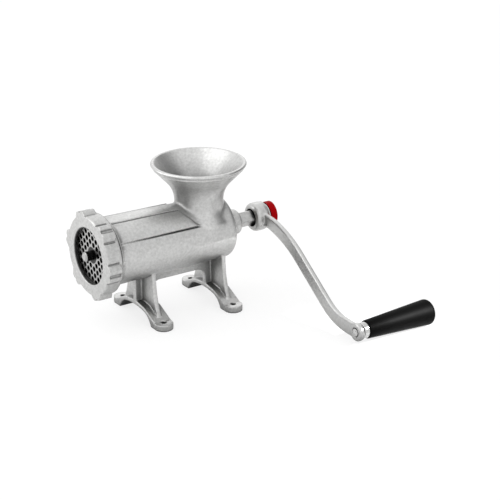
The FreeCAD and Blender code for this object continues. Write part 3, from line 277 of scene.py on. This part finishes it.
def apply(item, kind, **settings):
    """Adds a modifier with its settings and applies it."""
    only(item)
    change = item.modifiers.new(kind.lower(), kind)
    for key, value in settings.items():
        setattr(change, key, value)
    bpy.ops.object.modifier_apply(modifier=change.name)


def mark(item, name, weight):
    """A vertex group whose weights come from a function of a point in millimetres."""
    group = item.vertex_groups.new(name=name)
    steps = {}
    for v in item.data.vertices:
        steps.setdefault(round(weight(v.co / MM), 1), []).append(v.index)
    for step, points in steps.items():
        group.add(points, step, "REPLACE")
    return name


def ramp(value, low, high):
    """Runs from 0 at low to 1 at high."""
    return min(max((value - low) / (high - low), 0.0), 1.0)


def within(value, full, none):
    """1 up to full, falling to 0 at none."""
    return ramp(-value, -none, -full)


def off_screw(p):
    """Distance of a point from the screw axis."""
    return math.hypot(p.y, p.z - AXIS_Z)


def off_hopper(p):
    """Distance of a point from the hopper axis."""
    return math.hypot(p.x - HOPPER_X, p.y)


def off_grip(p):
    """Distance of a point from the grip axis."""
    return math.hypot(p.y - GRIP_Y, p.z - GRIP_Z)


def at_radius(p, radius):
    """A point moved straight off the screw axis to a radius, in metres."""
    out = radius / off_screw(p)
    return Vector((p.x, p.y * out, AXIS_Z + (p.z - AXIS_Z) * out)) * MM


def plain_copy(node, name):
    """A copy of a CAD node as a new piece, with its doubled points merged."""
    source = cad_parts[node]
    mesh = source.data.copy()
    mesh.transform(source.matrix_world)
    piece = bpy.data.objects.new(name, mesh)
    bpy.context.scene.collection.objects.link(piece)
    only(piece)
    bpy.ops.object.mode_set(mode="EDIT")
    bpy.ops.mesh.select_all(action="SELECT")
    bpy.ops.mesh.remove_doubles(threshold=WELD)
    bpy.ops.object.mode_set(mode="OBJECT")
    return piece


def soft_copy(node, name, voxel):
    """A copy of a CAD node with evenly spread faces, for its cast or forged roundings."""
    piece = plain_copy(node, name)
    apply(piece, "REMESH", mode="VOXEL", voxel_size=voxel * MM)
    return piece


def round_off(piece, zone, rounds):
    """Smooths a piece where a vertex group marks it."""
    apply(piece, "SMOOTH", factor=0.5, iterations=rounds, vertex_group=zone)


def thin_out(piece, triangles):
    """Thins a softened piece to a number of triangles and shades it round."""
    share = triangles / (2 * len(piece.data.polygons))
    apply(piece, "DECIMATE", decimate_type="COLLAPSE", ratio=min(share, 1.0))
    piece.vertex_groups.clear()
    only(piece)
    bpy.ops.object.shade_smooth()


def hand_over(piece, node, body):
    """Gives a piece its finish and puts it in its CAD node's place."""
    piece.data.materials.clear()
    piece.data.materials.append(finish_of[node])
    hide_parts(node)
    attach(piece, body)


# Housing: how fine its faces are, how often each zone is smoothed, and its zones
HOUSING_VOXEL = 0.85
HOUSING_TRIANGLES = 190000
CASTING_ROUNDS = 5
HOLLOW_ROUNDS = 70
NOSE_END = -104.0
BORE_EDGE = 38.5  # nearer to the screw axis lies the bore
BORE_REAR = 62.0
BOSS_FRONT = 68.0
BOSS_BORE = 14.5
HOLLOW_MIDDLE = 42.0  # hollow round the neck, by distance from the hopper axis
HOLLOW_HALF = 12.0
HOLLOW_OUTSIDE = 58.0  # hollow's reach from the screw axis


def casting_weight(p):
    """Everywhere but on the bores and the nose."""
    in_bore = off_screw(p) < BORE_EDGE and p.x < BORE_REAR
    in_boss = off_screw(p) < BOSS_BORE and p.x > BOSS_FRONT
    return 0.0 if in_bore or in_boss or p.x < NOSE_END else 1.0


def hollow_weight(p):
    """The hollow where the neck spreads on the barrel."""
    by_neck = abs(off_hopper(p) - HOLLOW_MIDDLE) < HOLLOW_HALF
    near = by_neck and p.z > AXIS_Z and off_screw(p) < HOLLOW_OUTSIDE
    return casting_weight(p) if near else 0.0


# Nose of the barrel: thread, relief behind it and bead of the shoulder, by place along the screw
NOSE_REAR = -104.5
NOSE_SKIN = 43.0  # nearer to the screw axis lies the mouth
THREAD_REAR = -112.0
THREAD_PITCH = 3.0
THREAD_ROOT = 45.1
THREAD_DEPTH = 0.8
RELIEF_RADIUS = 43.3
BEAD_FOOT, BEAD_FRONT = -107.8, -107.0
BEAD_RISE = 2.9
BEAD_REAR, BEAD_END = -105.6, -104.6
BEAD_FALL = 1.4


def on_nose(p):
    """Whether a point lies on the skin of the nose."""
    return p.x < NOSE_REAR and off_screw(p) > NOSE_SKIN


def nose_radius(p):
    """The radius of the threaded nose, its relief and the bead of the shoulder."""
    if p.x < THREAD_REAR:
        turn = (p.x / THREAD_PITCH + math.atan2(p.y, p.z - AXIS_Z) / (2 * math.pi)) % 1.0
        return THREAD_ROOT + THREAD_DEPTH * abs(2 * turn - 1)
    rise = BEAD_RISE * ramp(p.x, BEAD_FOOT, BEAD_FRONT)
    return RELIEF_RADIUS + rise - BEAD_FALL * ramp(p.x, BEAD_REAR, BEAD_END)


# Fields along the barrel between its strip and its ledges, with angles in degrees from its top
BARREL_FRONT, BARREL_REAR = -107, 70
BARREL_RADIUS = 44.8
BARREL_TAPER = 2.6
FIELD_REAR = 20.0
FIELD_INSIDE, FIELD_OUTSIDE = 40.0, 46.5  # skin of the barrel, by distance from the screw axis
NECK_FROM, NECK_TO = 41.0, 44.0  # where the fields fade at the neck
STRIP_ANGLE = 16.5
STRIP_STEP = 0.8
LEDGE_ANGLE = 58.0
LEDGE_STEP = 0.6
LEDGE_ROOM = 5.0
LEDGE_HEIGHT = 1.2
FIELD_DEPTH = 0.4
SLOPE_ANGLE = 26.0  # the field climbs from here
SLOPE_GAP = 1.0  # the climb ends this far before the ledge
SLOPE_FRONT, SLOPE_REAR = -100, 0
FAR_FROM, FAR_TO = 5, 6  # the far field lies higher from this side on
FAR_ANGLE_FROM, FAR_ANGLE_TO = 18.5, 20
FAR_RISE = 1.0
GROOVE = 2.1
GROOVE_FRONT = 0.6  # share of the groove's depth at its front end
STRIP_GROOVE_FLAT, STRIP_GROOVE_END = 1.2, 3.6
LEDGE_GROOVE_FLAT, LEDGE_GROOVE_END = 1.5, 4.0


def top_angle(p):
    """The angle of a point from the top of the barrel, alike on both sides."""
    return math.degrees(math.atan2(abs(p.y), p.z - AXIS_Z))


def on_fields(p):
    """Whether a point lies on the strip, the fields or the ledges."""
    on_skin = FIELD_INSIDE < off_screw(p) < FIELD_OUTSIDE and p.x < FIELD_REAR
    return on_skin and top_angle(p) < LEDGE_ANGLE + LEDGE_ROOM and off_hopper(p) > NECK_FROM


def field_radius(p):
    """The radius of the strip, the fields and the ledges, with a groove along strip and ledge."""
    angle = top_angle(p)
    barrel = BARREL_RADIUS - BARREL_TAPER * ramp(p.x, BARREL_FRONT, BARREL_REAR)
    rearward = ramp(p.x, SLOPE_FRONT, SLOPE_REAR)
    climb = (FIELD_DEPTH + LEDGE_HEIGHT) * ramp(angle, SLOPE_ANGLE, LEDGE_ANGLE - SLOPE_GAP) * rearward
    far = FAR_RISE * ramp(p.y, FAR_FROM, FAR_TO) * ramp(angle, FAR_ANGLE_FROM, FAR_ANGLE_TO)
    past_strip = ramp(angle, STRIP_ANGLE, STRIP_ANGLE + STRIP_STEP)
    field = past_strip * within(angle, LEDGE_ANGLE, LEDGE_ANGLE + LEDGE_STEP)
    by_strip = field * within(angle - STRIP_ANGLE, STRIP_GROOVE_FLAT, STRIP_GROOVE_END)
    past_ledge = ramp(angle, LEDGE_ANGLE, LEDGE_ANGLE + LEDGE_STEP)
    by_ledge = past_ledge * within(angle - LEDGE_ANGLE, LEDGE_GROOVE_FLAT, LEDGE_GROOVE_END)
    groove = GROOVE * (by_strip + by_ledge) * (GROOVE_FRONT + (1 - GROOVE_FRONT) * rearward)
    target = barrel + (climb + far - FIELD_DEPTH) * field - groove
    return off_screw(p) + (target - off_screw(p)) * ramp(off_hopper(p), NECK_FROM, NECK_TO)


# Rim of the hopper: a band that is thinner than its solid
RIM_LOWEST = 186.0
RIM_FLOOR = 192.3  # underside of the band
RIM_BELOW, RIM_ABOVE = 1.5, 1.0  # the band's corner starts and ends this far from its underside
RIM_RADIUS = 63.0
RIM_NECK = 59.9


def on_rim(p):
    """Whether a point lies on the outside of the rim, below its top."""
    return RIM_LOWEST < p.z < RIM_FLOOR + RIM_BELOW and off_hopper(p) > RIM_NECK


def thin_rim(p):
    """A point of the rim moved towards the hopper axis, in metres."""
    corner = ramp(p.z, RIM_FLOOR - RIM_BELOW, RIM_FLOOR + RIM_ABOVE)
    edge = RIM_NECK + (RIM_RADIUS - RIM_NECK) * corner
    inward = min(edge / off_hopper(p), 1.0)
    return Vector((HOPPER_X + (p.x - HOPPER_X) * inward, p.y * inward, p.z)) * MM


housing = soft_copy("housing", "soft_housing", HOUSING_VOXEL)
round_off(housing, mark(housing, "casting", casting_weight), CASTING_ROUNDS)
round_off(housing, mark(housing, "hollow", hollow_weight), HOLLOW_ROUNDS)
for v in housing.data.vertices:
    p = v.co / MM
    if on_rim(p):
        v.co = thin_rim(p)
    elif on_nose(p):
        v.co = at_radius(p, nose_radius(p))
    elif on_fields(p):
        v.co = at_radius(p, field_radius(p))
thin_out(housing, HOUSING_TRIANGLES)
hand_over(housing, "housing", "housing")

# Ring nut: soft lobes and lip, a flute in each lobe, and grooves placed from the lobe's middle
RING_VOXEL = 0.6
RING_TRIANGLES = 110000
RING_ROUNDS = 2
RING_SKIN = 47.5  # nearer to the screw axis lies the thread
RING_LIP = -127.5
LOBE_STEP = 60.0
LOBE_TURN = 40.0  # turn of the first lobe from the top
LOBE_FOOT = 51.0
LOBE_FROM, LOBE_TO = 54.0, 56.0
RIBS_REAR, RIBS_REAR_FULL = -115.2, -116.0
RIBS_FRONT, RIBS_FRONT_FULL = -131.8, -130.8
FLUTE_DEPTH = 1.3
FLUTE_FLAT, FLUTE_HALF = 1.6, 3.4
FOOT_DEPTH = 1.2
FOOT_PLACE = 13.6
FOOT_FLAT, FOOT_HALF = 0.5, 1.5
FLANK_DEPTH = 0.7
FLANK_PLACE = 8.6
FLANK_FLAT, FLANK_HALF = 0.3, 1.0


def ring_weight(p):
    """The outside of the ring and its lip."""
    return 1.0 if off_screw(p) > RING_SKIN or p.x < RING_LIP else 0.0


def rib_depth(p):
    """How deep the flutes and grooves of the lobes are at a point."""
    turn = math.degrees(math.atan2(-p.y, p.z - AXIS_Z)) - LOBE_TURN
    off_lobe = (turn + LOBE_STEP / 2) % LOBE_STEP - LOBE_STEP / 2
    across = off_screw(p) * math.sin(math.radians(abs(off_lobe)))
    on_lobe = ramp(off_screw(p), LOBE_FROM, LOBE_TO)
    flute = FLUTE_DEPTH * within(across, FLUTE_FLAT, FLUTE_HALF) * on_lobe
    foot = FOOT_DEPTH * within(abs(across - FOOT_PLACE), FOOT_FLAT, FOOT_HALF)
    flank = FLANK_DEPTH * within(abs(across - FLANK_PLACE), FLANK_FLAT, FLANK_HALF) * on_lobe
    along = within(p.x, RIBS_REAR_FULL, RIBS_REAR) * ramp(p.x, RIBS_FRONT, RIBS_FRONT_FULL)
    return (flute + foot + flank) * along


ring = soft_copy("ring_nut", "soft_ring", RING_VOXEL)
round_off(ring, mark(ring, "outside", ring_weight), RING_ROUNDS)
for v in ring.data.vertices:
    p = v.co / MM
    if off_screw(p) > LOBE_FOOT and p.x < RIBS_REAR:
        v.co = at_radius(p, off_screw(p) - rib_depth(p))
thin_out(ring, RING_TRIANGLES)
hand_over(ring, "ring_nut", "ring")

# Crank: a forging whose arm flows into the hub
CRANK_VOXEL = 0.6
CRANK_TRIANGLES = 110000
FORGING_ROUNDS = 5
ROOT_ROUNDS = 60
SQUARE_REACH = 11.8  # nearer to the screw axis lies the square hole
EYE_BORE = 6.5
ROOT_FROM, ROOT_TO = 15, 20  # root of the arm, by distance from the screw axis
ROOT_NEAR_FROM, ROOT_NEAR_TO = -6, -12
ROOT_FAR_FROM, ROOT_FAR_TO = -40, -28
HUB_BACK_FRONT, HUB_BACK_REAR, HUB_BACK_END = 131, 136, 136.2
HUB_RADIUS = 19.5
HUB_TAPER = 1.1
HUB_SKIN_FROM, HUB_SKIN_TO = 16, 17
HUB_SIDE_FROM, HUB_SIDE_TO = -16, -12  # the hub's back is turned on this side of the arm
GROOVE_RADIUS, GROOVE_FLOOR = 6.6, 5.8  # groove round the spindle's end
GROOVE_DEPTH = 1.0
GROOVE_REACH = 124


def forging_weight(p):
    """Everywhere but in the square hole and the eye's bore."""
    return 0.0 if off_screw(p) < SQUARE_REACH or off_grip(p) < EYE_BORE else 1.0


def root_weight(p):
    """The root of the arm at the hub."""
    along = within(p.y, ROOT_NEAR_TO, ROOT_NEAR_FROM) * ramp(p.y, ROOT_FAR_FROM, ROOT_FAR_TO)
    return forging_weight(p) * ramp(off_screw(p), ROOT_FROM, ROOT_TO) * along


def on_hub_back(p):
    """Whether a point lies on the outside of the hub's back."""
    outside = off_screw(p) > HUB_SKIN_FROM and p.y > HUB_SIDE_FROM
    return outside and HUB_BACK_FRONT < p.x < HUB_BACK_END


def hub_radius(p):
    """The radius of the hub's back, fading into the arm."""
    back = HUB_RADIUS - HUB_TAPER * ramp(p.x, HUB_BACK_FRONT, HUB_BACK_REAR)
    fade = ramp(p.y, HUB_SIDE_FROM, HUB_SIDE_TO) * ramp(off_screw(p), HUB_SKIN_FROM, HUB_SKIN_TO)
    return off_screw(p) + (back - off_screw(p)) * fade


crank = soft_copy("crank_arm", "soft_crank", CRANK_VOXEL)
round_off(crank, mark(crank, "forging", forging_weight), FORGING_ROUNDS)
round_off(crank, mark(crank, "root", root_weight), ROOT_ROUNDS)
for v in crank.data.vertices:
    p = v.co / MM
    if on_hub_back(p):
        v.co = at_radius(p, hub_radius(p))
    elif off_grip(p) < GROOVE_RADIUS and p.x < GROOVE_REACH:
        v.co.x += GROOVE_DEPTH * within(off_grip(p), GROOVE_FLOOR, GROOVE_RADIUS) * MM
thin_out(crank, CRANK_TRIANGLES)
hand_over(crank, "crank_arm", "crank")

# Knob: a turned cap with a shallow recess and the stud's seat in its front
KNOB_CORNERS = 128
KNOB_RADIUS = 17.0
KNOB_FRONT = 139.9
KNOB_REAR = 149.6
KNOB_WALL = 0.6  # wall round the recess
RECESS_DEPTH = 1.6
STUD_SEAT = 5.1  # radius of the stud's seat
STUD_DEPTH = 6.0  # depth of the seat below the recess
CAP_FACING = 0.9  # a face that looks along the axis at least this much is an end face


def pick_front(item):
    """Selects the end face of a turned piece that looks along -X, in edit mode."""
    only(item)
    bpy.ops.object.mode_set(mode="EDIT")
    bpy.ops.mesh.select_mode(type="FACE")
    bpy.ops.mesh.select_all(action="DESELECT")
    bpy.ops.object.mode_set(mode="OBJECT")
    for face in item.data.polygons:
        face.select = face.normal.x < -CAP_FACING
    bpy.ops.object.mode_set(mode="EDIT")


def sink(narrower, depth):
    """Insets the selected front face and extrudes it into the piece, both in millimetres."""
    bpy.ops.mesh.inset(thickness=narrower * MM)
    bpy.ops.mesh.extrude_region_move(TRANSFORM_OT_translate={"value": (depth * MM, 0, 0)})


bpy.ops.object.select_all(action="DESELECT")
middle = (KNOB_FRONT + KNOB_REAR) / 2
bpy.ops.mesh.primitive_cylinder_add(vertices=KNOB_CORNERS, radius=KNOB_RADIUS * MM,
                                    depth=(KNOB_REAR - KNOB_FRONT) * MM,
                                    location=(middle * MM, 0, AXIS_Z * MM), rotation=(0, math.pi / 2, 0))
knob = bpy.context.object
knob.name = "skirted_knob"
bpy.ops.object.transform_apply(location=True, rotation=True, scale=True)
pick_front(knob)
sink(KNOB_WALL, RECESS_DEPTH)
sink(KNOB_RADIUS - KNOB_WALL - STUD_SEAT, STUD_DEPTH)
bpy.ops.object.mode_set(mode="OBJECT")
bpy.ops.object.shade_smooth_by_angle(angle=SMOOTH_ANGLE)
hand_over(knob, "knob", "knob")

# Washer: the CAD washer, narrower than the knob
WASHER_RADIUS = 16.2
washer = plain_copy("crank_washer", "seated_washer")
for v in washer.data.vertices:
    p = v.co / MM
    on_edge = off_screw(p) > WASHER_RADIUS / 2  # the bore lies nearer to the axis
    if on_edge:
        v.co = at_radius(p, WASHER_RADIUS)
only(washer)
bpy.ops.object.shade_smooth_by_angle(angle=SMOOTH_ANGLE)
hand_over(washer, "crank_washer", "washer")

# Floor: a wide pale sheet that takes a faint shadow, veiled in white for the camera
FLOOR_SIDE = 12.0
FLOOR_DROP = 0.3
FLOOR_VEIL = 0.72
FLOOR_GLOW = 1.06
bpy.ops.object.select_all(action="DESELECT")
bpy.ops.mesh.primitive_plane_add(size=FLOOR_SIDE, location=(0, 0, 0))
floor = bpy.context.object
floor.name = "floor"
floor.data.transform(Matrix.Translation((0, 0, -FLOOR_DROP * MM)))
paper, tree = new_finish("white_floor_paper")
path = add(tree, "LightPath")
veil = add(tree, "Math", {0: path.outputs["Is Camera Ray"], 1: FLOOR_VEIL}, operation="MULTIPLY")
matt = add(tree, "BsdfDiffuse", {"Color": linear("#f0f0f0")})
glow = add(tree, "Emission", {"Color": linear("#ffffff"), "Strength": FLOOR_GLOW})
both = add(tree, "MixShader", {0: veil.outputs[0], 1: matt.outputs[0], 2: glow.outputs[0]})
add(tree, "OutputMaterial", {"Surface": both.outputs[0]})
floor.data.materials.append(paper)

# World: plain white, with a dark screen on the right that shows in reflections only
SCREEN = Vector((0.97, -0.2, 0.15)).normalized()
SCREEN_EDGE, SCREEN_MIDDLE = 0.6, 0.95  # as cosines of the angle from the screen's middle
MIRRORED_WHITE = 1.05
SCREEN_LEVEL = 0.2
world = bpy.data.worlds.new("white_room")
bpy.context.scene.world = world
world.use_nodes = True
tree = world.node_tree
tree.nodes.clear()
path = add(tree, "LightPath")
seen = add(tree, "Math", {0: path.outputs["Is Camera Ray"], 1: path.outputs["Is Glossy Ray"]},
           operation="MAXIMUM")
seen = add(tree, "Math", {0: seen.outputs[0], 1: path.outputs["Is Transmission Ray"]},
           operation="MAXIMUM")
way = add(tree, "TexCoord").outputs["Generated"]
side = add(tree, "VectorMath", {0: way, 1: SCREEN}, operation="DOT_PRODUCT")
screen = add(tree, "MapRange", {"Value": side.outputs["Value"], "From Min": SCREEN_EDGE,
                                "From Max": SCREEN_MIDDLE, "To Min": MIRRORED_WHITE,
                                "To Max": SCREEN_LEVEL}, interpolation_type="SMOOTHSTEP")
shown = add(tree, "Math", {0: screen.outputs["Result"], 1: path.outputs["Is Camera Ray"]},
            operation="MAXIMUM")
level = add(tree, "MapRange", {"Value": seen.outputs[0], "To Min": 1.0, "To Max": shown.outputs[0]})
sky = add(tree, "Background", {"Color": linear("#ffffff"), "Strength": level.outputs["Result"]})
add(tree, "OutputWorld", {"Surface": sky.outputs[0]})

# Camera and lamps: places by azimuth and elevation in degrees and by distance in metres
AIM = Vector((92.1, -35.6, 70.9)) * MM
GRIP_MIDDLE = Vector((198, GRIP_Y, GRIP_Z)) * MM
LENS = 118.96
SENSOR = 36.0


def aimed(name, data, target, azimuth, elevation, distance):
    """An object for a lamp or a camera, at a place round its target and facing it."""
    a = math.radians(azimuth)
    e = math.radians(elevation)
    back = Vector((math.sin(a) * math.cos(e), -math.cos(a) * math.cos(e), math.sin(e)))
    item = bpy.data.objects.new(name, data)
    bpy.context.scene.collection.objects.link(item)
    item.location = target + back * distance
    item.rotation_euler = (-back).to_track_quat("-Z", "Y").to_euler()
    return item


def panel(name, azimuth, elevation, distance, side, watts):
    """A soft square lamp aimed at the object."""
    data = bpy.data.lights.new(name, "AREA")
    data.energy = watts
    data.size = side
    aimed(name, data, AIM, azimuth, elevation, distance)


panel("left_panel", azimuth=-122, elevation=14, distance=1.3, side=0.6, watts=2.2)
panel("key_panel", azimuth=-108, elevation=56, distance=1.5, side=1.2, watts=4)
panel("back_panel", azimuth=150, elevation=30, distance=1.8, side=0.9, watts=0.8)

# A narrow spot that draws the sheen along the grip
spot = bpy.data.lights.new("grip_spot", "SPOT")
spot.energy = 280
spot.spot_size = math.radians(4.2)
spot.spot_blend = 0.4
spot.shadow_soft_size = 0.03
aimed("grip_spot", spot, GRIP_MIDDLE, azimuth=39.09, elevation=35.11, distance=1.5)

view = bpy.data.cameras.new("camera")
camera = aimed("camera", view, AIM, azimuth=-33.76, elevation=21.91, distance=2.2)
camera.data.lens = LENS
camera.data.sensor_width = SENSOR
bpy.context.scene.camera = camera
bpy.context.scene.view_settings.view_transform = "Standard"
